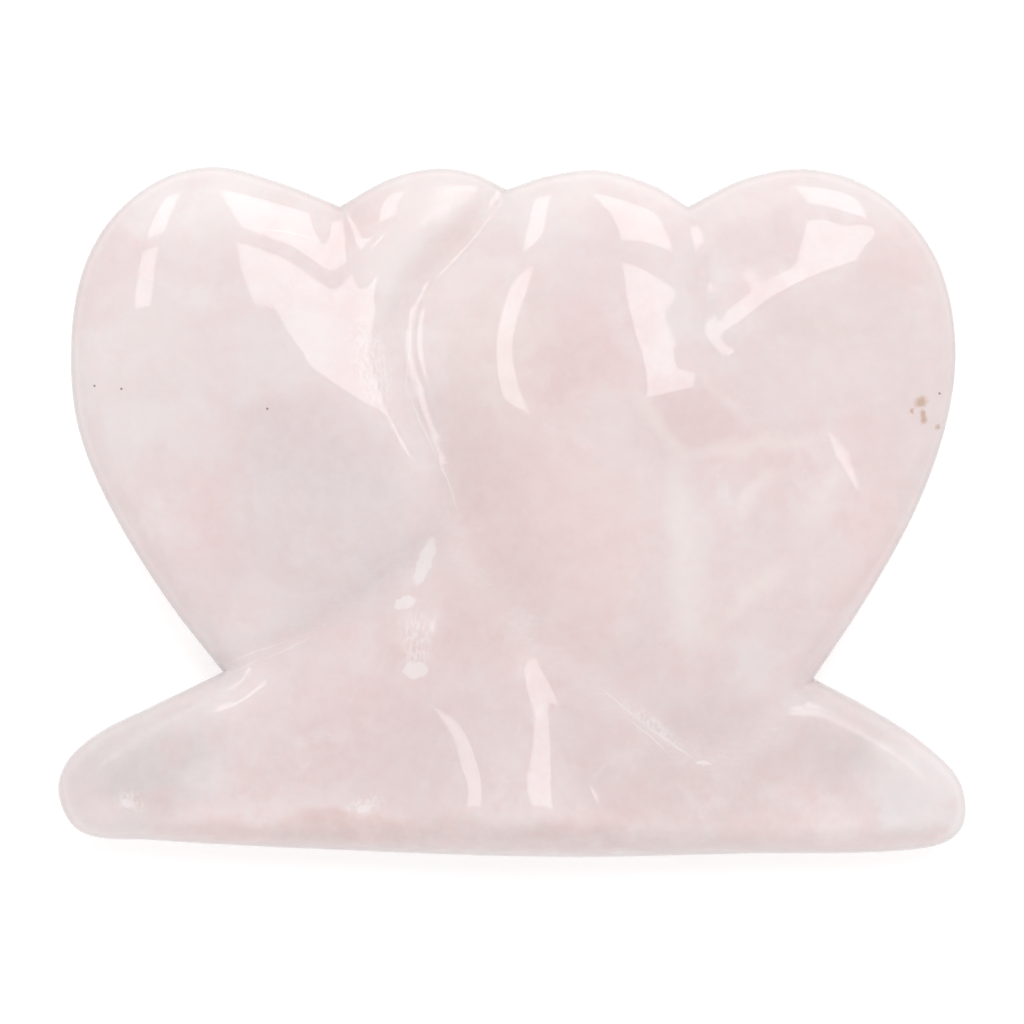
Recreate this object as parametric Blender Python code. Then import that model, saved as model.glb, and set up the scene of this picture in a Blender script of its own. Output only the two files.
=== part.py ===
"""Double-heart gua sha scraper, carved from one slab of rose quartz.

Two hearts stand side by side on a flared base. The right heart lies in front of the left one and of the
base, and a carved groove marks each line where two of the three shapes meet. The stone lies on its flat
back: X runs along the long edge, Y from the base to the hearts, and Z out of the carved face. The origin
is at the centre of the outline, on the back.

Each of the three shapes is a pillow: rings of its own outline, drawn in towards its middle and rising
as they go. Neighbours share the points of the groove between them, so the stone is one closed solid.
"""

import bmesh
import bpy
import numpy as np
from mathutils import Vector
from mathutils.geometry import interpolate_bezier

MM = 0.001  # lengths below are in millimetres

# The outline's size, which the drawn lines are fitted to.
WIDTH = 86.0
DEPTH = 65.4

# Heights above the back.
RIM = 4.0  # the widest line of the rounded edge
GROOVE = 8.3  # floor of the carved grooves
LEFT_CROWN = 11.0
RIGHT_CROWN = 12.0
BASE_CROWN = 10.8

# Where a groove reaches the outline, it climbs from the rim over this distance.
GROOVE_CLIMB = 6.0

# Spacing of the points along the drawn lines.
SPACING = 2.0

# How far each ring is drawn in: 1 is the outline and 0 the middle of the shape.
FRONT_RINGS = (0.985, 0.95, 0.89, 0.8, 0.67, 0.48, 0.26)
BACK_RINGS = (0.996, 0.984, 0.966, 0.945)
BACK_MIDDLE = [(0.0, -5.0), (0.0, -5.0)]

# Corners where the drawn lines end.
LEFT_CLEFT = (-16.3, 28.9)
RIGHT_CLEFT = (16.7, 28.9)
LOBE_CROSSING = (-0.5, 30.5)
LEFT_WAIST = (-27.4, -15.2)
RIGHT_WAIST = (28.6, -15.8)
MEETING = (-6.0, -1.2)
RIGHT_TIP = (19.2, -24.2)

# Each line runs smoothly through its points. The outline's lines run anticlockwise.
LINES = {
    "left_heart_side": [
        LEFT_CLEFT, (-22.4, 31.3), (-28.4, 32.65), (-33.8, 31.2), (-38.4, 27.2), (-41.0, 21.7),
        (-41.8, 14.5), (-41.0, 7.6), (-38.0, 0.3), (-32.8, -8.2), LEFT_WAIST,
    ],
    "base_edge": [
        LEFT_WAIST, (-34.3, -18.5), (-39.6, -21.2), (-42.4, -24.0), (-42.9, -27.2), (-40.7, -30.4),
        (-34.4, -31.1), (-20.0, -31.9), (4.0, -32.72), (22.0, -32.4), (38.0, -32.0), (42.4, -30.3),
        (42.6, -25.9), (39.6, -22.4), (34.6, -19.0), RIGHT_WAIST,
    ],
    "right_heart_side": [
        RIGHT_WAIST, (34.0, -7.6), (38.4, 0.5), (41.2, 8.5), (42.05, 15.4), (40.9, 22.3),
        (38.0, 27.3), (33.6, 30.9), (27.8, 32.45), (22.0, 31.5), RIGHT_CLEFT,
    ],
    "right_heart_lobe": [RIGHT_CLEFT, (13.2, 31.0), (8.2, 32.35), (3.4, 31.8), LOBE_CROSSING],
    "left_heart_lobe": [LOBE_CROSSING, (-3.6, 32.0), (-7.2, 32.5), (-11.6, 31.5), LEFT_CLEFT],
    "hearts_groove": [
        LOBE_CROSSING, (-4.6, 26.2), (-9.4, 21.6), (-10.9, 16.2), (-9.0, 10.2), (-6.4, 4.8), MEETING,
    ],
    "left_groove": [MEETING, (-10.8, -5.2), (-18.6, -10.4), LEFT_WAIST],
    "tip_groove": [MEETING, (-2.6, -7.2), (4.8, -14.0), (12.6, -20.4), RIGHT_TIP],
    "right_groove": [RIGHT_TIP, (24.0, -21.0), RIGHT_WAIST],
}
OUTLINE = (
    ("left_heart_side", 1), ("base_edge", 1), ("right_heart_side", 1),
    ("right_heart_lobe", 1), ("left_heart_lobe", 1),
)

# Each shape: the lines round it, anticlockwise, with -1 for a line that is run backwards; the ends of
# its middle line; the height there; and how full it is between its edge and its middle.
PILLOWS = (
    (
        (("left_heart_side", 1), ("left_groove", -1), ("hearts_groove", -1), ("left_heart_lobe", 1)),
        [(-31.0, 13.0), (-15.8, 18.6)], LEFT_CROWN, 2.6,
    ),
    (
        (("right_heart_side", 1), ("right_heart_lobe", 1), ("hearts_groove", 1), ("tip_groove", 1),
         ("right_groove", 1)),
        [(8.0, 13.0), (26.0, 13.0)], RIGHT_CROWN, 2.6,
    ),
    (
        (("base_edge", 1), ("right_groove", -1), ("tip_groove", -1), ("left_groove", 1)),
        [(-33.0, -27.6), (33.0, -28.4)], BASE_CROWN, 1.8,
    ),
)


def smooth_line(points):
    """Evenly spaced points along the smooth curve through the given ones."""
    knots = [Vector((*p, 0)) for p in points]
    ends = [2 * knots[0] - knots[1], *knots, 2 * knots[-1] - knots[-2]]
    fine = []
    for before, start, end, after in zip(ends, ends[1:], ends[2:], ends[3:]):
        reach = (end - start).length / 3
        leave = start + (end - before).normalized() * reach
        arrive = end - (after - start).normalized() * reach
        fine += interpolate_bezier(start, leave, arrive, end, 24)[:-1]
    fine = np.array([*fine, knots[-1]])[:, :2]
    along = np.append(0, np.cumsum(np.hypot(*np.diff(fine, axis=0).T)))
    even = np.linspace(0, along[-1], round(along[-1] / SPACING) + 1)
    return np.column_stack([np.interp(even, along, fine[:, axis]) for axis in (0, 1)])


def fit_to_size(lines):
    """Moves and scales the drawn lines so that their box is WIDTH by DEPTH, with its centre at zero."""
    every = np.concatenate(list(lines.values()))
    low, high = every.min(axis=0), every.max(axis=0)
    scale = np.array([WIDTH, DEPTH]) / (high - low)
    return {name: (line - (low + high) / 2) * scale for name, line in lines.items()}


def groove_height(point, feet):
    """Height of a groove's floor, which climbs from the rim where the groove starts at the outline."""
    nearest = min(np.hypot(*(point - foot)) for foot in feet)
    left = 1 - min(nearest / GROOVE_CLIMB, 1)
    return RIM + (GROOVE - RIM) * (1 - left**2) ** 0.5


def nearest_on(segment, points):
    """The nearest place to each point on the middle line of a shape."""
    start, end = np.array(segment, float)
    run = end - start
    length = run @ run
    share = np.clip((points - start) @ run / length, 0, 1) if length else np.zeros(len(points))
    return start + share[:, None] * run


def add_points(bm, points, heights):
    return [bm.verts.new((x * MM, y * MM, z * MM)) for (x, y), z in zip(points, heights)]


def join_rings(bm, outer, inner):
    """Faces between two rings of as many points each, both anticlockwise seen from where they face."""
    for i in range(len(outer)):
        bm.faces.new((outer[i - 1], outer[i], inner[i], inner[i - 1]))


def add_lines(bm, lines):
    """The points of every drawn line. Lines that end in the same corner share its point."""
    feet = [lines["hearts_groove"][0], lines["left_groove"][-1], lines["right_groove"][-1]]
    corners = {}
    verts = {}
    for name, line in lines.items():
        heights = [groove_height(p, feet) if name.endswith("groove") else RIM for p in line]
        verts[name] = add_points(bm, line[1:-1], heights[1:-1])
        for end, place in ((0, 0), (-1, len(line) - 1)):
            key = tuple(np.round(line[end], 3))
            if key not in corners:
                corners[key] = add_points(bm, [line[end]], [heights[end]])[0]
            verts[name].insert(place, corners[key])
    return verts


def loop_of(verts, route):
    """The points round a shape, in order, each once."""
    return [vert for name, way in route for vert in verts[name][::way][:-1]]


def add_pillow(bm, loop, middle, crown, fullness):
    """Rings from a shape's edge up to its crown, which is a small flat."""
    edge = np.array([vert.co for vert in loop]) / MM
    centre = nearest_on(middle, edge[:, :2])
    outer = loop
    for ring in FRONT_RINGS:
        points = centre + (edge[:, :2] - centre) * ring
        rise = (1 - ring**fullness) ** 0.6 if ring != FRONT_RINGS[-1] else 1
        inner = add_points(bm, points, edge[:, 2] + (crown - edge[:, 2]) * rise)
        join_rings(bm, outer, inner)
        outer = inner
    bm.faces.new(outer)


def add_back(bm, loop):
    """The rounded back edge, a quarter of an ellipse, and the flat that the stone rests on."""
    edge = np.array([vert.co for vert in loop])[:, :2] / MM
    centre = nearest_on(BACK_MIDDLE, edge)
    outer = loop[::-1]
    for ring in BACK_RINGS:
        share = (1 - ring) / (1 - BACK_RINGS[-1])
        height = RIM * (1 - (1 - (1 - share) ** 2) ** 0.5)
        points = centre + (edge - centre) * ring
        inner = add_points(bm, points[::-1], [height] * len(points))
        join_rings(bm, outer, inner)
        outer = inner
    bm.faces.new(outer)


def rose_quartz():
    material = bpy.data.materials.new("rose_quartz")
    material.use_nodes = True
    shader = material.node_tree.nodes["Principled BSDF"]
    shader.inputs["Base Color"].default_value = (0.82, 0.70, 0.69, 1)
    shader.inputs["Roughness"].default_value = 0.12
    shader.inputs["Metallic"].default_value = 0
    shader.inputs["IOR"].default_value = 1.54
    return material


def build_stone():
    lines = fit_to_size({name: smooth_line(points) for name, points in LINES.items()})
    bm = bmesh.new()
    verts = add_lines(bm, lines)
    for route, middle, crown, fullness in PILLOWS:
        add_pillow(bm, loop_of(verts, route), middle, crown, fullness)
    add_back(bm, loop_of(verts, OUTLINE))
    mesh = bpy.data.meshes.new("stone_body")
    bm.to_mesh(mesh)
    bm.free()
    mesh.shade_smooth()
    mesh.materials.append(rose_quartz())
    stone = bpy.data.objects.new("stone_body", mesh)
    bpy.context.scene.collection.objects.link(stone)
    return stone


for obj in list(bpy.data.objects):
    bpy.data.objects.remove(obj)
build_stone()
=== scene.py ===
"""The looks of the double-heart gua sha scraper: one polished rose quartz stone on a pale floor.

The stone's front is a stretched film. Its outline and its carved grooves hold the film down, and a
pressure that differs from place to place swells it between them. The square root of the film's height is
how far the stone rises above its widest line, which gives it round edges. The back is flat.
"""

import math

import bpy
import numpy as np
from mathutils import Matrix, Vector, noise
from mathutils.geometry import delaunay_2d_cdt, interpolate_bezier


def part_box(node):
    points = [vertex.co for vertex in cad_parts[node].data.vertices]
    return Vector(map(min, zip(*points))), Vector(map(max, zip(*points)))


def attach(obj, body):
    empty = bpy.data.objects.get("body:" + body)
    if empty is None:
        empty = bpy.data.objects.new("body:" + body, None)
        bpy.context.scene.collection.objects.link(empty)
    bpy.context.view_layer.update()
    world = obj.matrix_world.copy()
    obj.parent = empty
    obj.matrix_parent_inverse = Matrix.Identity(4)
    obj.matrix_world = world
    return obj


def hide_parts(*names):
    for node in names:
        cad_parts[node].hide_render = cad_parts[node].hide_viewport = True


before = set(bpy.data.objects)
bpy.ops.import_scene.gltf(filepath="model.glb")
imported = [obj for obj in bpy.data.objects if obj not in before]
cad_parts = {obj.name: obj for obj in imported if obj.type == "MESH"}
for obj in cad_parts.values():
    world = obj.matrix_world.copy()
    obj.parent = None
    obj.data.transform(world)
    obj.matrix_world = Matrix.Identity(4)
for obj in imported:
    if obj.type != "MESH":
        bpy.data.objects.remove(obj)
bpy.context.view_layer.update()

MM = 0.001  # the shape below is worked out in millimetres
STONE_LOW, STONE_HIGH = (np.array(corner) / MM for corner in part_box("stone_body"))

# ---------------------------------------------------------------- the drawn lines

LEFT_CLEFT = (-16.3, 28.9)
RIGHT_CLEFT = (16.7, 28.9)
LOBE_CROSSING = (-0.5, 30.5)
LEFT_WAIST = (-27.4, -15.2)
RIGHT_WAIST = (28.6, -15.8)
MEETING = (-6.0, -1.2)
RIGHT_TIP = (19.2, -24.2)

LINES = {
    "left_heart_side": [
        LEFT_CLEFT, (-22.4, 31.3), (-28.4, 32.65), (-33.8, 31.2), (-38.4, 27.2), (-41.0, 21.7),
        (-41.8, 14.5), (-41.0, 7.6), (-38.0, 0.3), (-32.8, -8.2), LEFT_WAIST,
    ],
    "base_edge": [
        LEFT_WAIST, (-34.3, -18.5), (-39.6, -21.2), (-42.4, -24.0), (-42.9, -27.2), (-40.7, -30.4),
        (-34.4, -31.1), (-20.0, -31.9), (4.0, -32.72), (22.0, -32.4), (38.0, -32.0), (42.4, -30.3),
        (42.6, -25.9), (39.6, -22.4), (34.6, -19.0), RIGHT_WAIST,
    ],
    "right_heart_side": [
        RIGHT_WAIST, (34.0, -7.6), (38.4, 0.5), (41.2, 8.5), (42.05, 15.4), (40.9, 22.3),
        (38.0, 27.3), (33.6, 30.9), (27.8, 32.45), (22.0, 31.5), RIGHT_CLEFT,
    ],
    "right_heart_lobe": [RIGHT_CLEFT, (13.2, 31.0), (8.2, 32.35), (3.4, 31.8), LOBE_CROSSING],
    "left_heart_lobe": [LOBE_CROSSING, (-3.6, 32.0), (-7.2, 32.5), (-11.6, 31.5), LEFT_CLEFT],
    "hearts_groove": [
        LOBE_CROSSING, (-4.6, 26.2), (-9.4, 21.6), (-10.9, 16.2), (-9.0, 10.2), (-6.4, 4.8), MEETING,
    ],
    "left_groove": [MEETING, (-10.8, -5.2), (-18.6, -10.4), LEFT_WAIST],
    "tip_groove": [MEETING, (-2.6, -7.2), (4.8, -14.0), (12.6, -20.4), RIGHT_TIP],
    "right_groove": [RIGHT_TIP, (24.0, -21.0), RIGHT_WAIST],
}
OUTLINE = ("left_heart_side", "base_edge", "right_heart_side", "right_heart_lobe", "left_heart_lobe")
GROOVES = ("hearts_groove", "left_groove", "tip_groove", "right_groove")
RIGHT_HEART = ("right_heart_side", "right_heart_lobe", "hearts_groove", "tip_groove", "right_groove")
BASE = ("base_edge", "right_groove", "tip_groove", "left_groove")

# ---------------------------------------------------------------- heights and pressures, front

# How far each groove's floor rises above the rim, as (share of the way along it, rise).
GROOVE_RISES = {
    "hearts_groove": ((0, 0.7), (0.3, 0.7), (0.65, 2.75), (1, 3.2)),
    "left_groove": ((0, 3.2), (0.6, 2.9), (1, 2.9)),
    "tip_groove": ((0, 3.2), (0.5, 5.3), (1, 5.1)),
    "right_groove": ((0, 5.1), (0.4, 4.9), (1, 4.9)),
}
GROOVE_CLIMB = 6.0  # the length over which a groove climbs from the rim, where it meets the outline

# The rises above and the strengths below come from a fit, made in another program, that brought the soft
# window's reflections to the right places. The routes, places and widths are drawn one by one.

# The pressure under each pillow: everywhere, more near its outline, more near its grooves.
PRESSURES = {"left": (0.51, -0.46, 1.94), "right": (-0.15, 1.31, -1.05), "base": (-0.14, 2.86, -0.22)}
EDGE_REACH = 3.0
ON_LINE = 1e-3  # a point this near a line lies on it
FAR = 99.0  # from any groove

# A dab presses the film round a point: (x, y, radius, strength).
DABS = {
    "left": [
        (-33, 22, 7, 0.05), (-24, 22, 7, -0.28), (-30, 8, 7, -0.41), (-20, 6, 7, -0.39),
        (-24, -4, 7, -0.05), (-8, 27, 4, 0.27),
    ],
    "right": [
        (5, 24, 7, 0.43), (10, 17, 7, 0.13), (24, 18, 7, -0.78), (31, 25, 7, 0.25), (34, 10, 7, 0.03),
        (5, 6, 7, 0.87), (26, 5, 7, -0.31), (8, -6, 7, 1.07), (22, -8, 7, 1.15),
    ],
    "base": [(-33, -24, 6, 0.32), (18, -28, 6, 0.88), (33, -24, 6, 0.44)],
}

# A stroke presses it along a line: (points, half width, strength at its start, at its end). Strengths
# below 0 draw the film down.
STROKES = {
    "left": {
        "lobe_flank": ([(-24.6, 29.8), (-25.0, 26.0), (-20.0, 20.0), (-17.5, 15.0)], 2.4, 0.03, 0.26),
        "lobe_crest": ([(-27.5, 28.5), (-26.5, 24.0), (-22.5, 18.8), (-19.5, 14.5)], 1.5, -0.19, -0.16),
        "cleft_valley": ([(-16.3, 28.9), (-15.8, 23.0), (-14.6, 17.0)], 1.4, -1.06, -0.87),
        "valley_foot": ([(-15.9, 26.0), (-14.6, 18.0), (-13.6, 11.0), (-12.4, 4.0)], 2.6, -0.58, -0.11),
        "small_lobe_ridge": ([(-15.0, 25.8), (-11.5, 28.0), (-7.5, 30.6)], 0.7, -0.9, 0.27),
        "sill": ([(-19.0, 12.0), (-15.5, 10.5), (-12.0, 10.0)], 1.6, 0.34, 0.8),
    },
    "right": {
        "groove_shoulder": (
            [(3.4, 29.0), (1.8, 23.5), (-0.8, 18.0), (-1.6, 12.0), (-0.8, 8.0)],
            1.6, -0.17, 0.95,
        ),
        "lobe_crest": ([(13.4, 30.0), (11.8, 26.0), (12.4, 20.0), (13.8, 13.0)], 2.0, 0.41, 0.87),
        "big_lobe_ridge": ([(29.5, 31.5), (28.4, 27.0), (25.0, 23.8), (20.0, 21.8)], 1.4, 0.15, 0.41),
        "cleft_valley": ([(16.8, 29.0), (17.6, 24.0), (18.5, 17.6), (19.3, 15.2)], 1.0, -3.08, -3.39),
        "big_lobe_sill": ([(20.4, 17.4), (23.8, 19.6), (27.6, 21.3), (32.0, 23.5)], 1.5, 2.94, 2.06),
        "valley_flank": ([(17.1, 25.0), (17.9, 17.0), (18.6, 9.0), (19.0, 2.0)], 2.8, 1.05, 0.56),
        "lobe_sill": ([(11.5, 10.4), (14.5, 10.6), (17.2, 12.4)], 1.5, 1.69, 3.02),
    },
    "base": {
        "left_foot": ([(-37.0, -27.4), (-22.0, -28.0), (-7.0, -28.3)], 0.7, -2.66, -3.4),
        "middle_foot": ([(-7.0, -28.3), (0.0, -28.4), (7.0, -28.5)], 0.7, 3.93, 7.77),
        "right_foot": ([(7.0, -28.5), (22.0, -28.6), (37.0, -28.6)], 0.7, -1.92, -1.45),
        "foot_edge": ([(-46.0, -30.4), (46.0, -30.4)], 1.2, 6.55, 3.86),
        "apex_hollow": ([(-6.5, -4.0), (-4.0, -12.0), (-1.5, -18.0)], 3.0, -1.54, -0.07),
        "middle_rise": ([(-3.0, -14.0), (0.0, -22.0), (1.4, -28.0)], 2.0, 0.15, 0.26),
        "left_ridge": (
            [(-12.5, -15.9), (-8.2, -17.4), (-5.0, -20.0), (-3.0, -22.8), (-2.0, -25.2), (-2.2, -28.3)],
            1.8, -0.3, 1.48,
        ),
        "left_hollow": ([(-14.0, -12.0), (-9.0, -20.0), (-7.0, -26.0)], 2.8, 0.12, -0.5),
        "middle_ridge": (
            [(0.9, -15.2), (2.2, -17.9), (2.8, -20.0), (3.2, -22.6), (3.2, -28.4)],
            1.0, 2.65, 2.94,
        ),
        "right_hollow": ([(3.8, -15.5), (5.6, -18.5), (6.9, -23.0), (7.4, -28.4)], 1.6, -1.59, -1.97),
        "apex_ridge": (
            [(-6.8, -2.6), (-8.4, -5.2), (-9.2, -8.5), (-9.2, -12.0), (-9.2, -16.0)],
            1.0, 2.19, 0.55,
        ),
        "tip_shoulder": ([(-5.5, -6.0), (-2.0, -12.0), (3.0, -17.0)], 1.6, 0.6, 0.47),
        "left_wing_crest": (
            [(-28.0, -17.8), (-33.5, -20.6), (-38.5, -23.6), (-40.3, -26.5)],
            0.8, 1.91, 1.98,
        ),
        "right_wing_crest": (
            [(28.5, -18.3), (33.5, -21.0), (38.0, -24.0), (40.2, -27.0)],
            0.8, 2.94, 2.1,
        ),
        "left_wing_hollow": ([(-38.0, -25.0), (-30.0, -22.5), (-22.0, -19.5)], 2.5, -0.44, -0.05),
        "right_wing_hollow": ([(22.0, -25.0), (30.0, -24.0), (38.0, -26.0)], 2.5, -0.88, -0.98),
        "left_step": ([(-36.0, -26.0), (-20.0, -26.5), (-8.0, -26.8)], 1.5, 0.86, 0.29),
        "right_step": ([(8.0, -26.5), (20.0, -27.0), (36.0, -27.0)], 1.5, -0.55, 0.28),
    },
}

COVE_REACH = 0.8  # how far the softening of a groove reaches at full strength
COVE_ROUNDS = 8
WAVES = ((8.0, 0.05), (3.0, 0.012))  # length and depth of the waves that polishing leaves
WAVE_RAMP = 2.0  # the waves fade out this near the outline

SPACING = 0.4  # of the points on the front
BACK_SPACING = 1.3
CURVE_STEPS = 24  # between two points of a drawn line
ROW_HEIGHT = 0.866  # of the lattice, about that of a triangle whose sides are 1

# The least distances that free points keep, in spacings.
ROW_TO_LINE = 0.25
LATTICE_TO_ROW = 0.55
LATTICE_TO_LINE = 0.6

JOIN_DISTANCE = 1e-6  # closer points become one
LEAST_CROSS = 1e-9  # twice the area of a sliver triangle, so that its weights stay finite
FILM_TOLERANCE = 1e-14
BACK_ROUND = 2.6  # how far in the back edge is rounded
EDGE_INSETS = (0.04, 0.15, 0.33)  # rows of points that follow the outline closely, on the front
BACK_INSETS = tuple(BACK_ROUND * share for share in (0.03, 0.12, 0.26, 0.45, 0.7, 1.0))


def smooth_line(points, spacing):
    """Evenly spaced points along the smooth curve through the given ones."""
    knots = [Vector((*p, 0)) for p in points]
    ends = [2 * knots[0] - knots[1], *knots, 2 * knots[-1] - knots[-2]]
    fine = []
    for before, start, end, after in zip(ends, ends[1:], ends[2:], ends[3:]):
        reach = (end - start).length / 3
        leave = start + (end - before).normalized() * reach
        arrive = end - (after - start).normalized() * reach
        fine += interpolate_bezier(start, leave, arrive, end, CURVE_STEPS)[:-1]
    fine = np.array([*fine, knots[-1]])[:, :2]
    along = np.append(0, np.cumsum(np.hypot(*np.diff(fine, axis=0).T)))
    even = np.linspace(0, along[-1], round(along[-1] / spacing) + 1)
    return np.column_stack([np.interp(even, along, fine[:, axis]) for axis in (0, 1)])


def drawn_lines():
    """The drawn lines, fitted to the CAD node's outline."""
    lines = {name: smooth_line(points, SPACING) for name, points in LINES.items()}
    every = np.concatenate(list(lines.values()))
    low, high = every.min(axis=0), every.max(axis=0)
    scale = (STONE_HIGH - STONE_LOW)[:2] / (high - low)
    shift = (STONE_HIGH + STONE_LOW)[:2] / 2
    return {name: (line - (low + high) / 2) * scale + shift for name, line in lines.items()}


def loop_of(lines, names):
    """One closed loop through several lines, each turned the way that joins on."""
    loop = lines[names[0]]
    for name in names[1:]:
        line = lines[name]
        if np.hypot(*(line[0] - loop[-1])) > np.hypot(*(line[-1] - loop[-1])):
            line = line[::-1]
        loop = np.concatenate([loop, line[1:]])
    return loop[:-1]


def inside(points, loop):
    """Which points lie inside a closed loop, by counting the loop's sides to their right."""
    x, y = points.T
    within = np.zeros(len(points), bool)
    for (x0, y0), (x1, y1) in zip(loop, np.roll(loop, -1, axis=0)):
        if y0 == y1:
            continue
        crosses = (y0 > y) != (y1 > y)
        within ^= crosses & (x < x0 + (y - y0) * (x1 - x0) / (y1 - y0))
    return within


def nearest(points, line):
    """Distance from each point to the nearest point of a finely spaced line, and that point's index."""
    distance = np.full(len(points), np.inf)
    index = np.zeros(len(points), int)
    for i, place in enumerate(line):
        d = np.hypot(*(points - place).T)
        closer = d < distance
        distance[closer] = d[closer]
        index[closer] = i
    return distance, index


def inward(loop):
    """Unit vectors into an anticlockwise loop, at each of its points."""
    run = np.roll(loop, -1, axis=0) - np.roll(loop, 1, axis=0)
    return np.column_stack([-run[:, 1], run[:, 0]]) / np.hypot(*run.T)[:, None]


def lattice(loop, spacing):
    """Points of a triangular lattice inside a loop."""
    low, high = loop.min(axis=0), loop.max(axis=0)
    rows = np.arange(low[1], high[1], spacing * ROW_HEIGHT)
    columns = np.arange(low[0], high[0], spacing)
    x, y = np.meshgrid(columns, rows)
    x = x + (np.arange(len(rows)) % 2)[:, None] * spacing / 2
    points = np.column_stack([x.ravel(), y.ravel()])
    return points[inside(points, loop)]


def wired_points(lines, outline, kept_lines):
    """The points of the outline, then those of the kept lines, and the edges that join them."""
    points = [tuple(p) for p in outline]
    edges = [(i, (i + 1) % len(points)) for i in range(len(points))]
    known = {tuple(np.round(p, 4)): i for i, p in enumerate(points)}
    for name in kept_lines:
        chain = []
        for p in lines[name]:
            key = tuple(np.round(p, 4))
            if key not in known:
                known[key] = len(points)
                points.append(tuple(p))
            chain.append(known[key])
        edges += list(zip(chain, chain[1:]))
    return points, edges


def triangulate(lines, outline, insets, spacing, kept_lines):
    """Points and triangles inside the outline, with the outline and the kept lines as sides.

    The outline's points come first, in order. Rows of points follow it at the insets, and a lattice fills
    the rest.
    """
    points, edges = wired_points(lines, outline, kept_lines)
    free = np.concatenate([outline + inward(outline) * inset for inset in insets])
    kept = np.array(points[len(outline) :])
    if len(kept):
        free = free[nearest(free, kept)[0] > ROW_TO_LINE * spacing]
    inner = lattice(outline, spacing)
    margin = insets[-1] + LATTICE_TO_ROW * spacing
    inner = inner[nearest(inner, outline)[0] > margin]
    if len(kept):
        inner = inner[nearest(inner, kept)[0] > LATTICE_TO_LINE * spacing]
    every = [*points, *map(tuple, free), *map(tuple, inner)]
    found = delaunay_2d_cdt([Vector(p) for p in every], edges, [], 1, JOIN_DISTANCE)
    return np.array([tuple(v) for v in found[0]]), np.array(found[2])


def film_height(points, triangles, held, held_value, pressure):
    """Height of a film over the points, held at some of them and pushed up by the pressure.

    The cotangent weights make the film lie smoothly whatever the triangles' shapes, and conjugate
    gradients find it.
    """
    ends, weights = [], []
    area = np.zeros(len(points))
    for a, b, c in ((0, 1, 2), (1, 2, 0), (2, 0, 1)):
        u = points[triangles[:, a]] - points[triangles[:, c]]
        v = points[triangles[:, b]] - points[triangles[:, c]]
        cross = np.maximum(np.abs(u[:, 0] * v[:, 1] - u[:, 1] * v[:, 0]), LEAST_CROSS)
        ends.append(triangles[:, [a, b]])
        weights.append((u * v).sum(axis=1) / cross / 2)
        area += np.bincount(triangles[:, c], cross / 6, len(points))
    ends, weights = np.concatenate(ends), np.concatenate(weights)
    start, end = ends.T
    count = len(points)
    diagonal = np.bincount(start, weights, count) + np.bincount(end, weights, count)

    def pull(x):
        given = np.bincount(start, weights * x[end], count)
        return diagonal * x - given - np.bincount(end, weights * x[start], count)

    free = ~held
    height = np.where(held, held_value, 0.0)
    left = (pressure * area - pull(height)) * free
    step = left / diagonal
    slope = left @ step
    start_slope = slope
    while slope > FILM_TOLERANCE * start_slope:
        pulled = pull(step) * free
        share = slope / (step @ pulled)
        height += share * step
        left -= share * pulled
        ready = left / diagonal
        slope, before = left @ ready, slope
        step = ready + step * (slope / before)
    return height


def groove_film(points, lines, on_groove):
    """Height of the film over the grooves' floors, which climb from the rim where they meet the outline."""
    feet = [lines["hearts_groove"][0], lines["left_groove"][-1], lines["right_groove"][-1]]
    away = np.min([np.hypot(*(points - foot).T) for foot in feet], axis=0)
    climb = 1 - (1 - np.minimum(away / GROOVE_CLIMB, 1)) ** 2
    film = np.zeros(len(points))
    for name, stations in GROOVE_RISES.items():
        distance, index = nearest(points, lines[name])
        here = on_groove & (distance < ON_LINE)
        shares, rises = np.array(stations).T
        film[here] = np.interp(index[here] / (len(lines[name]) - 1), shares, rises**2)
    return film * climb


def stroke_pressure(points, route, half_width, first, last):
    """The pressure of one stroke at each point."""
    line = smooth_line(route, SPACING)
    distance, index = nearest(points, line)
    strength = first + (last - first) * index / (len(line) - 1)
    return strength * np.exp(-((distance / half_width) ** 2))


def front_pressure(points, lines, outline, groove_points):
    """The pressure under the film at each point."""
    in_right = inside(points, loop_of(lines, RIGHT_HEART))
    in_base = inside(points, loop_of(lines, BASE))
    pillows = {"left": ~in_right & ~in_base, "right": in_right, "base": in_base}
    near_edge = np.exp(-((nearest(points, outline)[0] / EDGE_REACH) ** 2))
    near_groove = np.exp(-((nearest(points, groove_points)[0] / EDGE_REACH) ** 2))
    pressure = np.zeros(len(points))
    for name, here in pillows.items():
        all_over, by_edge, by_groove = PRESSURES[name]
        pressure += here * (all_over + by_edge * near_edge + by_groove * near_groove)
        for x, y, radius, strength in DABS[name]:
            away = np.hypot(*(points - (x, y)).T)
            pressure += here * strength * np.exp(-((away / radius) ** 2))
        for stroke in STROKES[name].values():
            pressure += here * stroke_pressure(points, *stroke)
    return pressure


def fall(distance, reach):
    """1 within the reach, falling evenly to 0 at twice the reach."""
    return np.clip(2 - distance / reach, 0, 1)


def softened(values, triangles, share):
    """The values, each moved this share of the way to its neighbours' mean, several times over."""
    ends = np.concatenate([triangles[:, [0, 1]], triangles[:, [1, 2]], triangles[:, [2, 0]]])
    ends = np.concatenate([ends, ends[:, ::-1]])
    count = len(values)
    degree = np.bincount(ends[:, 0], minlength=count)
    for _ in range(COVE_ROUNDS):
        mean = np.bincount(ends[:, 0], values[ends[:, 1]], count) / degree
        values = values + share * (mean - values)
    return values


def wave_height(x, y):
    """Height of the polish's waves at one point."""
    return sum(depth * noise.noise(Vector((x / length, y / length, length))) for length, depth in WAVES)


def waviness(points):
    """The slight unevenness that hand polishing leaves, at each point."""
    return np.array([wave_height(x, y) for x, y in points])


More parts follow.
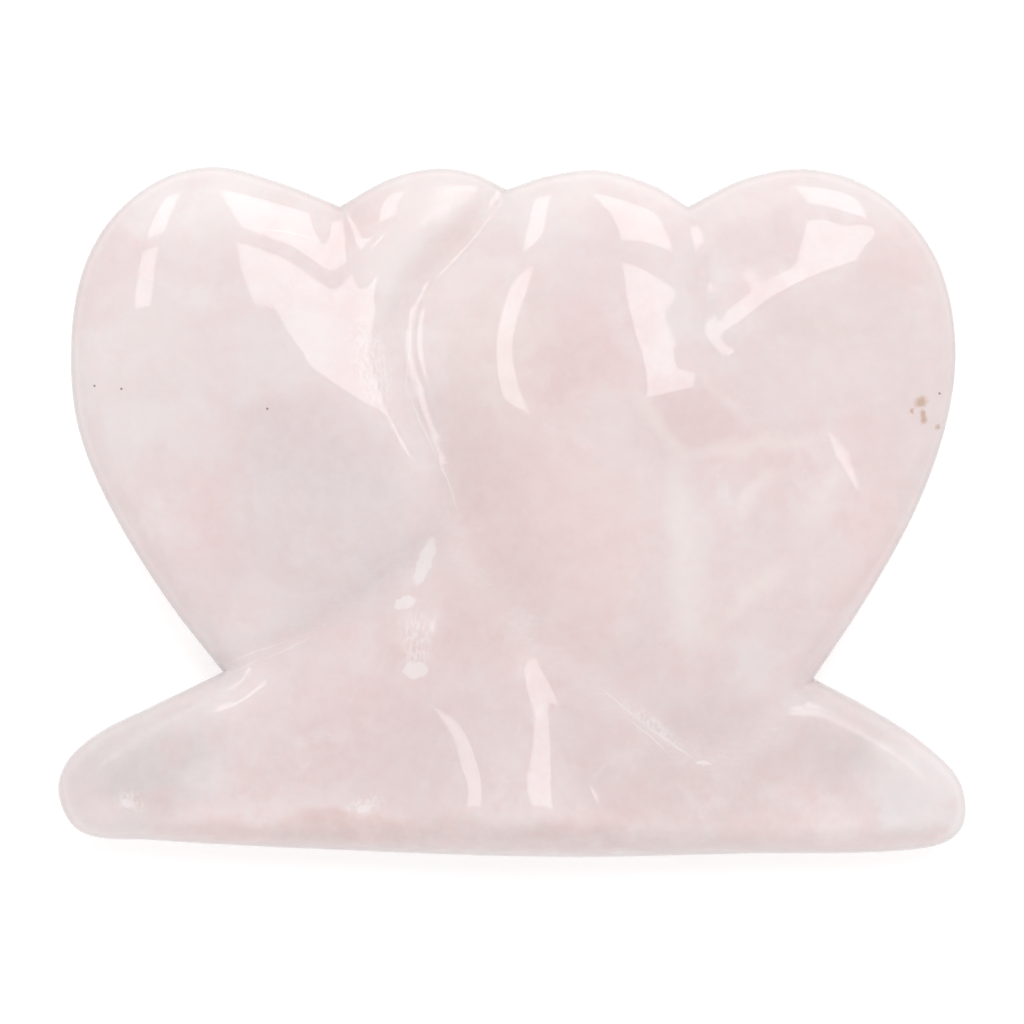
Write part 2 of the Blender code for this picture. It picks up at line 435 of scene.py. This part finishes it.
def front_heights(points, triangles, lines, outline):
    """Height of the front at each point."""
    groove_points = np.concatenate([lines[name] for name in GROOVES])
    from_groove = nearest(points, groove_points)[0]
    on_outline = np.arange(len(points)) < len(outline)
    on_groove = ~on_outline & (from_groove < ON_LINE)
    film = film_height(
        points,
        triangles,
        on_outline | on_groove,
        groove_film(points, lines, on_groove),
        front_pressure(points, lines, outline, groove_points),
    )
    rise = np.sqrt(np.maximum(film, 0))
    rise = softened(rise, triangles, fall(from_groove, COVE_REACH) * ~on_outline)
    rise += waviness(points) * np.minimum(nearest(points, outline)[0] / WAVE_RAMP, 1)
    return rise + STONE_HIGH[2] - rise.max()


def back_heights(points, outline, rim):
    """Height of the back at each point: flat, with a quarter of an ellipse round it, up to the rim."""
    fine = np.concatenate([outline, (outline + np.roll(outline, -1, axis=0)) / 2])
    inset = np.minimum(nearest(points, fine)[0] / BACK_ROUND, 1)
    inset[: len(outline)] = 0
    return rim * (1 - np.sqrt(1 - (1 - inset) ** 2))


def stone_mesh():
    """The whole stone, with each point's distance from the grooves and from the outline."""
    lines = drawn_lines()
    outline = loop_of(lines, OUTLINE)
    count = len(outline)
    front, front_triangles = triangulate(lines, outline, EDGE_INSETS, SPACING, GROOVES)
    heights = front_heights(front, front_triangles, lines, outline)
    back, back_triangles = triangulate(lines, outline, BACK_INSETS, BACK_SPACING, ())
    depths = back_heights(back, outline, heights[:count].max())
    places = np.vstack([
        np.column_stack([front, heights]),
        np.column_stack([back[count:], depths[count:]]),
    ])
    flipped = back_triangles[:, ::-1]
    flipped = np.where(flipped < count, flipped, flipped - count + len(front))
    mesh = bpy.data.meshes.new("polished_stone")
    mesh.from_pydata((places * MM).tolist(), [], np.vstack([front_triangles, flipped]).tolist())
    from_groove = nearest(places[:, :2], np.concatenate([lines[name] for name in GROOVES]))[0]
    from_groove[len(front) :] = FAR
    from_edge = nearest(places[:, :2], outline)[0]
    for name, values in (("groove_distance", from_groove), ("edge_distance", from_edge)):
        mesh.attributes.new(name, "FLOAT", "POINT").data.foreach_set("value", values)
    mesh.shade_smooth()
    return mesh


# ---------------------------------------------------------------- material

PALE_QUARTZ = (0.86, 0.775, 0.775, 1)
PINK_QUARTZ = (0.85, 0.70, 0.70, 1)
WHITE_QUARTZ = (0.93, 0.885, 0.885, 1)
# The next colour is bare stone, and painted highlight where it marks the glints.
BARE_AND_HIGHLIGHT_QUARTZ = (0.98, 0.95, 0.94, 1)
ROSE_QUARTZ = (0.80, 0.66, 0.655, 1)
# The next colour is painted shade, greying the stone along its outline.
EDGE_SHADE_QUARTZ = (0.50, 0.47, 0.465, 1)

# A tint is a soft oval through the whole stone: (x, y, half width, half height, turn, colour, strength).
# Most are the stone's own colour; some, marked below, are painted light and shade.
TINTS = {
    "pink_core": (2, -2, 17, 20, 10, (0.87, 0.70, 0.685), 0.65),
    "rose_patch": (5, 13.5, 7, 4.5, 15, (0.81, 0.64, 0.625), 0.55),
    "rose_crease": (0, -4.5, 8, 4.5, 30, (0.80, 0.635, 0.62), 0.4),
    "grey_heart": (-17, -2, 14, 12, 20, (0.785, 0.70, 0.705), 0.7),
    "mauve_cloud": (-19, 6, 11, 6, -10, (0.77, 0.675, 0.68), 0.6),
    # Painted light: paler tops, as if lit from above.
    "lit_tops": (0, 34, 60, 13, 0, (0.90, 0.85, 0.84), 0.7),
    "left_flank": (-36, 13, 12, 19, -10, (0.875, 0.81, 0.805), 0.8),
    "left_crown": (-29, 30, 13, 7, 0, (0.91, 0.865, 0.86), 0.75),
    "right_lobe": (29, 18, 11, 9, 0, (0.89, 0.78, 0.765), 0.6),
    "right_flank": (39, 8, 7, 22, 0, (0.81, 0.735, 0.73), 0.7),
    "right_rose": (17, 9, 9, 8, 0, (0.80, 0.62, 0.62), 0.65),
    "crown_rose": (-3, 5, 8, 10, 0, (0.79, 0.64, 0.63), 0.4),
    "apex_rose": (-4, -12, 9, 6, 0, (0.78, 0.625, 0.62), 0.5),
    # Painted light: paler over the hearts groove's upper crease and the left valley, lifting their shade.
    "crease_light": (-8, 21, 9, 12, -10, (0.92, 0.86, 0.85), 0.75),
    "warm_strip": (-1, 15, 6, 12, -15, (0.89, 0.80, 0.765), 0.5),
    "base_blush": (-8, -22, 24, 9, 0, (0.79, 0.645, 0.65), 0.7),
    "foot_blush": (-15, -30.5, 9, 2.2, 0, (0.80, 0.56, 0.52), 0.6),
    # Painted highlight: a paler middle of the foot, where the window's reflection falls.
    "foot_highlight": (3, -25, 10, 6, 0, (0.84, 0.755, 0.75), 0.7),
    # Grey of the thin wing, darkened further by painted shade where the light strikes its upper rim.
    "right_wing": (32, -20, 9, 6, 0, (0.73, 0.67, 0.665), 0.75),
    "white_tip": (39, -27, 8, 7, 0, (0.82, 0.785, 0.785), 0.85),
    "right_base": (18, -24, 15, 9, 0, (0.765, 0.635, 0.63), 0.65),
    # Painted shade: a darker band along the foot, which faces away from the lights.
    "foot": (0, -32, 60, 4, 0, (0.70, 0.585, 0.575), 0.7),
    # Grey of the thin wing, darkened further by painted shade where the light strikes its upper rim.
    "shaded_grey_tip": (-36, -23, 12, 9, 0, (0.715, 0.66, 0.66), 0.75),
    "grey_spot": (31, -24, 5, 4.5, 0, (0.72, 0.67, 0.665), 0.5),
    "right_mottle": (26, -5, 9, 11, 0, (0.80, 0.68, 0.67), 0.4),
}
# Pale veins: (x, y, half width, half height, turn, strength).
VEINS = {
    "main": (16.0, -2.5, 2.4, 13.0, 3, 0.6),
    "main_top": (13.6, 8.5, 1.4, 5.5, 38, 0.5),
    "main_foot": (17.0, -9.5, 4.0, 6.0, 10, 0.5),
    "cross": (23.5, 6.3, 11.0, 1.5, 10, 0.55),
    "fork": (23.0, 1.8, 4.0, 1.3, 50, 0.7),
    "lower": (22.6, -7.4, 6.5, 1.5, 45, 0.6),
    "right": (29.5, 1.5, 2.2, 7.0, -25, 0.45),
    "slant": (20.0, 10.5, 1.2, 6.0, 45, 0.35),
}
VEIN_QUARTZ = (0.91, 0.84, 0.81, 1)
BASE_OVAL = (0, -26, 70, 20, 0)  # where the rosy blotches are strongest
# Crisp glints, which are painted highlights, and patches of scuffed stone, paler partly from painted
# highlight: (x, y, half width, half height, turn).
PAINTED_GLINTS = {
    "apex": (-8.2, -4.6, 0.75, 2.7, -20),
    "apex_foot": (-10.1, -8.5, 1.2, 0.7, 25),
    "column_foot": (-9.1, -14.9, 1.4, 0.9, 0),
    "left_tip": (-36.3, -27.4, 0.6, 0.45, 0),
    "left_foot": (-14.0, -27.9, 0.8, 0.4, 15),
    "tip_end": (18.0, -23.6, 1.0, 0.3, -12),
}
# Scuffs are rough stone, and their pale speckle and halos are partly painted highlight.
SCUFFS_AND_SHEEN = {
    "column": (-9.0, -12.2, 1.9, 4.2, 0),
    "left_tip_halo": (-36.0, -27.3, 2.0, 1.5, 0),
    "left_foot_halo": (-14.0, -27.6, 2.8, 1.3, 20),
    "left_valley": (-13.2, 14.0, 2.4, 6.5, 15),
    "crease": (13.0, -19.8, 5.0, 1.0, -38),
}
# Hazy places, where the polish is poor.
HAZE = {
    "left_wing": (-35, -21.5, 9, 4, 28),
    "right_wing": (34, -21.5, 10, 4.5, -32),
    "small_lobe": (-6, 28.5, 4.5, 3.5, 0),
}
# Fine scratches: (x, y, half length, half width, turn).
SCRATCHES = {
    "tip_upper": (10.6, -18.4, 4.6, 0.13, -42),
    "tip_lower": (14.6, -21.5, 4.2, 0.16, -34),
    "tip_third": (12.8, -21.0, 3.6, 0.10, -40),
    "left_upper": (-23.6, -13.0, 4.2, 0.12, 22),
    "left_lower": (-21.0, -12.8, 3.4, 0.10, 27),
    "left_third": (-25.5, -14.8, 3.0, 0.10, 24),
    "hearts_upper": (-9.8, 15.0, 0.12, 6.0, -3),
    "hearts_middle": (-8.4, 8.0, 0.12, 4.5, 24),
    "hearts_lower": (-6.0, 2.6, 0.12, 3.2, 20),
    "lobe": (-21.5, 26.4, 3.6, 0.12, -12),
}
# Small brown marks: (x, y, half width, half height, turn).
BROWN_MARKS = {
    "upper": (38.6, 10.4, 1.0, 0.7, 30),
    "lower": (38.8, 9.0, 0.5, 0.9, 0),
    "speck": (37.8, 9.6, 0.35, 0.3, 0),
    "rim": (40.2, 8.0, 0.3, 0.4, 0),
}
BROWN = (0.64, 0.45, 0.34, 1)
# Dark pits: (x, y).
PITS = {
    "left_rim": (-39.4, 11.9),
    "left_top": (-36.8, 11.6),
    "middle": (-23.0, 9.7),
    "right_rim": (40.4, 11.2),
}
PIT_RADIUS = 0.16
PIT_COLOUR = (0.25, 0.2, 0.18, 1)
BARE_AND_HIGHLIGHT_STRENGTHS = (0.40, 0.45, 0.50)  # how strongly the scuffs' bare stone and sheen, the scratches' bare stone and the glints' painted highlight show
GRINDING_REACH = 3.0  # how far from a groove the wheel has marked the stone
EDGE_SHADES = ((3.2, 0.16), (0.7, 0.5))  # how far in a painted shade along the outline reaches, and its strength
POLISH = 0.03  # the best polish's roughness
SMEAR = 0.04  # how much smears add to it
WEAR = 0.22  # how much wear adds to it
BUMP_DEPTH = 0.008 * MM


def add_node(tree, kind, inputs, **settings):
    """The first output of a new node, whose inputs are given as values or as other nodes' outputs."""
    node = tree.nodes.new(kind)
    for name, value in settings.items():
        setattr(node, name, value)
    for key, value in inputs.items():
        if isinstance(value, bpy.types.NodeSocket):
            tree.links.new(value, node.inputs[key])
        else:
            node.inputs[key].default_value = value
    return node.outputs[0]


def calculate(tree, operation, first, second=0.0):
    return add_node(tree, "ShaderNodeMath", {0: first, 1: second}, operation=operation)


def product(tree, first, second):
    return calculate(tree, "MULTIPLY", first, second)


def vector_step(tree, operation, first, second):
    return add_node(tree, "ShaderNodeVectorMath", {0: first, 1: second}, operation=operation)


def fade(tree, value, start, end):
    """0 where the value is at start, 1 where it is at end, with soft corners."""
    inputs = {"Value": value, "From Min": start, "From Max": end}
    return add_node(tree, "ShaderNodeMapRange", inputs, interpolation_type="SMOOTHSTEP")


def cloud(tree, where, size, detail, roughness=0.55):
    """Noise from 0 to 1 whose lumps are about this many millimetres across."""
    inputs = {"Vector": where, "Scale": 1 / size, "Detail": detail, "Roughness": roughness}
    return add_node(tree, "ShaderNodeTexNoise", inputs)


def mixed(tree, share, under, over):
    """The second colour over the first, hiding it wherever the share is 1."""
    node = tree.nodes.new("ShaderNodeMix")
    node.data_type = "RGBA"
    for name, value in (("Factor_Float", share), ("A_Color", under), ("B_Color", over)):
        socket = next(s for s in node.inputs if s.identifier == name)
        if isinstance(value, bpy.types.NodeSocket):
            tree.links.new(value, socket)
        else:
            socket.default_value = value
    return next(s for s in node.outputs if s.identifier == "Result_Color")


def washed(tree, colour, share, strength, wash):
    """The colour with a wash over it, of this strength where the share is 1."""
    return mixed(tree, product(tree, share, strength), colour, wash)


def wandering(tree, where, size, reach):
    """The same places, each moved by up to about half this reach, so that outlines wander."""
    node = tree.nodes.new("ShaderNodeTexNoise")
    tree.links.new(where, node.inputs["Vector"])
    node.inputs["Scale"].default_value = 1 / size
    node.inputs["Detail"].default_value = 3.0
    centred = vector_step(tree, "SUBTRACT", node.outputs["Color"], (0.5, 0.5, 0.5))
    step = vector_step(tree, "MULTIPLY", centred, (reach, reach, reach))
    return vector_step(tree, "ADD", where, step)


def oval(tree, where, x, y, half_width, half_height, turn, core=0.25):
    """1 in the core of an oval column through the stone, fading to 0 at its edge."""
    from_middle = vector_step(tree, "SUBTRACT", where, (x, y, 0))
    inputs = {"Vector": from_middle, "Axis": (0, 0, 1), "Angle": -math.radians(turn)}
    turned = add_node(tree, "ShaderNodeVectorRotate", inputs, rotation_type="AXIS_ANGLE")
    scaled = vector_step(tree, "MULTIPLY", turned, (1 / half_width, 1 / half_height, 0))
    length = tree.nodes.new("ShaderNodeVectorMath")
    length.operation = "LENGTH"
    tree.links.new(scaled, length.inputs[0])
    return fade(tree, length.outputs["Value"], 1.0, core)


def any_oval(tree, where, ovals, core):
    """The greatest of several ovals."""
    share = 0.0
    for shape in ovals.values():
        share = calculate(tree, "MAXIMUM", share, oval(tree, where, *shape, core))
    return share


def attribute(tree, name):
    node = tree.nodes.new("ShaderNodeAttribute")
    node.attribute_name = name
    return node.outputs["Fac"]


def clouded_quartz(tree, drifting):
    """Pale and pink clouds, with the tints of the stone's several parts."""
    pinkness = fade(tree, cloud(tree, drifting, size=11.0, detail=4.0), 0.35, 0.68)
    colour = mixed(tree, pinkness, PALE_QUARTZ, PINK_QUARTZ)
    for x, y, half_width, half_height, turn, tint, strength in TINTS.values():
        patch = oval(tree, drifting, x, y, half_width, half_height, turn)
        colour = washed(tree, colour, patch, strength, (*tint, 1))
    return colour


def with_veins(tree, where, colour):
    ragged = wandering(tree, where, size=4.5, reach=3.0)
    for *shape, strength in VEINS.values():
        colour = washed(tree, colour, oval(tree, ragged, *shape, core=0.0), strength, VEIN_QUARTZ)
    return colour


def with_mottle(tree, where, colour):
    """Rosy blotches, which are strongest in the base."""
    bent = wandering(tree, where, size=3.0, reach=2.0)
    blotches = fade(tree, cloud(tree, bent, size=7.0, detail=6.0, roughness=0.6), 0.49, 0.59)
    in_base = oval(tree, where, *BASE_OVAL)
    strength = calculate(tree, "ADD", product(tree, in_base, 0.35), 0.2)
    return washed(tree, colour, blotches, strength, ROSE_QUARTZ)


def with_white(tree, where, drifting, colour):
    """A fine white grain, soft wisps, and faint threads that break off here and there."""
    grain = fade(tree, cloud(tree, where, size=1.6, detail=5.0, roughness=0.7), 0.35, 0.65)
    colour = washed(tree, colour, grain, 0.15, WHITE_QUARTZ)
    wisps = fade(tree, cloud(tree, drifting, size=6.0, detail=5.0, roughness=0.6), 0.52, 0.75)
    colour = washed(tree, colour, wisps, 0.4, WHITE_QUARTZ)
    from_middle = calculate(tree, "SUBTRACT", cloud(tree, drifting, size=13.0, detail=3.0), 0.5)
    threads = fade(tree, calculate(tree, "ABSOLUTE", from_middle), 0.022, 0.0)
    broken = fade(tree, cloud(tree, where, size=9.0, detail=2.0), 0.45, 0.6)
    return washed(tree, colour, product(tree, threads, broken), 0.08, WHITE_QUARTZ)


def with_specks(tree, where, colour):
    """The brown marks and the dark pits."""
    frayed = wandering(tree, where, size=0.8, reach=0.9)
    for mark in BROWN_MARKS.values():
        colour = washed(tree, colour, oval(tree, frayed, *mark), 0.8, BROWN)
    for x, y in PITS.values():
        colour = mixed(tree, oval(tree, where, x, y, PIT_RADIUS, PIT_RADIUS, 0), colour, PIT_COLOUR)
    return colour


def quartz_colour(tree, where):
    """The colour in the depth of the stone."""
    drifting = wandering(tree, where, size=9.0, reach=7.0)
    colour = with_veins(tree, where, clouded_quartz(tree, drifting))
    colour = with_white(tree, where, drifting, with_mottle(tree, where, colour))
    return with_specks(tree, where, colour)


def surface_marks(tree, where):
    """Shares of the surface that are scuffed with some painted highlight, scratched, and covered by painted
    glints.
    """
    frayed = wandering(tree, where, size=0.9, reach=0.8)
    grained = vector_step(tree, "MULTIPLY", where, (1.6, 0.7, 1.0))
    speckle = fade(tree, cloud(tree, grained, size=0.5, detail=3.0, roughness=0.6), 0.42, 0.58)
    scuffs_and_sheen = product(tree, any_oval(tree, frayed, SCUFFS_AND_SHEEN, core=0.25), speckle)
    painted_glints = any_oval(tree, frayed, PAINTED_GLINTS, core=0.75)
    bent = wandering(tree, where, size=5.0, reach=1.2)
    scratches = any_oval(tree, bent, SCRATCHES, core=0.3)
    return scuffs_and_sheen, scratches, painted_glints


# Bare stone where scuffed and scratched, and painted highlight where the glints and the scuffs' sheen are.
def with_bare_stone_and_painted_highlights(tree, colour, marks):
    bare_and_highlight = 0.0
    for share, strength in zip(marks, BARE_AND_HIGHLIGHT_STRENGTHS):
        bare_and_highlight = calculate(tree, "MAXIMUM", bare_and_highlight, product(tree, share, strength))
    return mixed(tree, bare_and_highlight, colour, BARE_AND_HIGHLIGHT_QUARTZ)


def grinding(tree, where):
    """Streaks that the wheel left, and how near each place is to a groove."""
    near_groove = fade(tree, attribute(tree, "groove_distance"), GRINDING_REACH, 0.0)
    across = vector_step(tree, "MULTIPLY", where, (0.35, 1.3, 1.0))
    bent = wandering(tree, across, size=3.0, reach=1.0)
    return cloud(tree, bent, size=0.35, detail=4.0, roughness=0.7), near_groove


def with_ground_grooves_and_edge_shade(tree, colour, scuffed, near_groove):
    """The colour, whiter along the grooves, and greyed along the outline by painted shade."""
    whitened = calculate(tree, "ADD", product(tree, scuffed, 0.25), product(tree, near_groove, 0.12))
    colour = mixed(tree, whitened, colour, WHITE_QUARTZ)
    edge = attribute(tree, "edge_distance")
    for reach, strength in EDGE_SHADES:
        colour = washed(tree, colour, fade(tree, edge, reach, 0.0), strength, EDGE_SHADE_QUARTZ)
    return colour


def surface_roughness(tree, where, worn_shares):
    """A high polish that is a little smeared, and duller where the stone is worn."""
    smear = fade(tree, cloud(tree, where, size=5.0, detail=4.0), 0.4, 0.8)
    polish = calculate(tree, "ADD", product(tree, smear, SMEAR), POLISH)
    worn = any_oval(tree, where, HAZE, core=0.4)
    for share in worn_shares:
        worn = calculate(tree, "MAXIMUM", worn, share)
    return calculate(tree, "ADD", polish, product(tree, worn, WEAR))


def surface_bump(tree, where, streaks, near_groove):
    """The finest relief: the wheel's streaks in the grooves, and a faint ripple everywhere."""
    grind = product(tree, streaks, near_groove)
    ripple = product(tree, cloud(tree, where, size=2.5, detail=3.0), 0.5)
    height = calculate(tree, "ADD", grind, ripple)
    return add_node(tree, "ShaderNodeBump", {"Strength": 1.0, "Distance": BUMP_DEPTH, "Height": height})


def rose_quartz():
    material = bpy.data.materials.new("rose_quartz")
    material.use_nodes = True
    tree = material.node_tree
    coordinates = tree.nodes.new("ShaderNodeTexCoord").outputs["Object"]
    where = vector_step(tree, "MULTIPLY", coordinates, (1 / MM, 1 / MM, 1 / MM))
    streaks, near_groove = grinding(tree, where)
    scuffed = product(tree, near_groove, fade(tree, streaks, 0.48, 0.7))
    scuffs_and_sheen, scratches, painted_glints = surface_marks(tree, where)
    colour = with_bare_stone_and_painted_highlights(tree, quartz_colour(tree, where), (scuffs_and_sheen, scratches, painted_glints))
    settings = {
        "Base Color": with_ground_grooves_and_edge_shade(tree, colour, scuffed, near_groove),
        "Roughness": surface_roughness(tree, where, (scuffed, scuffs_and_sheen, scratches)),
        "Normal": surface_bump(tree, where, streaks, near_groove),
        "IOR": 1.54,
        "Subsurface Weight": 0.8,
        "Subsurface Scale": 4.0 * MM,
        "Subsurface Radius": (1.0, 0.8, 0.75),
    }
    shader = tree.nodes["Principled BSDF"]
    for name, value in settings.items():
        if isinstance(value, bpy.types.NodeSocket):
            tree.links.new(value, shader.inputs[name])
        else:
            shader.inputs[name].default_value = value
    return material


# ---------------------------------------------------------------- stage

# These are in metres.
VIEW_WIDTH = 0.09688  # how much the camera sees, at the view's height
VIEW_HEIGHT = 0.0048  # just above the stone's widest line
CAMERA_DISTANCE = 0.7  # from the view's height
SENSOR_WIDTH = 36  # in millimetres


def add_camera():
    data = bpy.data.cameras.new("camera")
    data.sensor_width = SENSOR_WIDTH
    data.lens = SENSOR_WIDTH * CAMERA_DISTANCE / VIEW_WIDTH
    data.clip_end = 10
    camera = bpy.data.objects.new("camera", data)
    camera.location = (0, 0, VIEW_HEIGHT + CAMERA_DISTANCE)
    bpy.context.scene.collection.objects.link(camera)
    bpy.context.scene.camera = camera


def mirror_direction(slope_x, slope_y):
    """Where a camera straight above sees, reflected by a surface that slopes down by these amounts."""
    return Vector((2 * slope_x, 2 * slope_y, 1 - slope_x**2 - slope_y**2)).normalized()


# A pane of the soft window: the slopes, from and to, that reflect it towards the camera.
PANES = {
    "narrow_low": ((-0.30, -0.22), (0.10, 0.27)),
    "narrow_high": ((-0.30, -0.22), (0.32, 0.55)),
    "wide_low": ((0.0, 0.27), (0.10, 0.27)),
    "wide_high": ((0.0, 0.27), (0.32, 0.55)),
}
FILL_SLOPES = ((-0.6, 0.6), (-0.95, -0.6))  # a dimmer pane, for the edges that face the foot
FILL_RADIANCE = 0.35
PANE_DISTANCE = 0.9  # from the stone
PANE_RADIANCE = 2.4


def add_pane(name, slopes_x, slopes_y, radiance):
    """A rectangular light whose reflection covers a range of slopes."""
    middle_x, middle_y = sum(slopes_x) / 2, sum(slopes_y) / 2
    middle = mirror_direction(middle_x, middle_y)
    sides = [mirror_direction(x, middle_y) for x in slopes_x]
    ends = [mirror_direction(middle_x, y) for y in slopes_y]
    width = 2 * math.tan(sides[0].angle(sides[1]) / 2) * PANE_DISTANCE
    height = 2 * math.tan(ends[0].angle(ends[1]) / 2) * PANE_DISTANCE
    data = bpy.data.lights.new(name, "AREA")
    data.shape = "RECTANGLE"
    data.size = width
    data.size_y = height
    data.energy = radiance * math.pi * width * height
    light = bpy.data.objects.new(name, data)
    light.location = middle * PANE_DISTANCE
    up = middle.cross((sides[1] - sides[0]).normalized()).normalized()
    across = up.cross(middle)
    light.rotation_euler = Matrix(np.array([across, up, middle]).T.tolist()).to_euler()
    bpy.context.scene.collection.objects.link(light)


WHITE = (1, 1, 1, 1)
STUDIO_LIGHT = 0.71  # the even light from all round
FLOOR_REACH = 3.0
FLOOR_COLOUR = (0.9, 0.9, 0.9, 1)
FLOOR_ROUGHNESS = 0.9
FLOOR_GLOW = 0.35  # keeps the floor as pale as a lit backdrop


def add_world():
    world = bpy.data.worlds.new("studio")
    world.use_nodes = True
    background = world.node_tree.nodes["Background"]
    background.inputs["Color"].default_value = WHITE
    background.inputs["Strength"].default_value = STUDIO_LIGHT
    bpy.context.scene.world = world


def add_floor():
    mesh = bpy.data.meshes.new("floor")
    corners = [(x * FLOOR_REACH, y * FLOOR_REACH, 0) for x, y in ((-1, -1), (1, -1), (1, 1), (-1, 1))]
    mesh.from_pydata(corners, [], [(0, 1, 2, 3)])
    floor = bpy.data.objects.new("floor", mesh)
    material = bpy.data.materials.new("pale_floor")
    material.use_nodes = True
    shader = material.node_tree.nodes["Principled BSDF"]
    shader.inputs["Base Color"].default_value = FLOOR_COLOUR
    shader.inputs["Roughness"].default_value = FLOOR_ROUGHNESS
    shader.inputs["Emission Color"].default_value = WHITE
    shader.inputs["Emission Strength"].default_value = FLOOR_GLOW
    mesh.materials.append(material)
    bpy.context.scene.collection.objects.link(floor)


add_camera()
stone = bpy.data.objects.new("polished_stone", stone_mesh())
stone.data.materials.append(rose_quartz())
bpy.context.scene.collection.objects.link(stone)
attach(stone, "root")
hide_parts("stone_body")
for pane_name, pane_slopes in PANES.items():
    add_pane(pane_name, *pane_slopes, PANE_RADIANCE)
add_pane("fill", *FILL_SLOPES, FILL_RADIANCE)
add_world()
add_floor()
bpy.context.scene.view_settings.view_transform = "Standard"
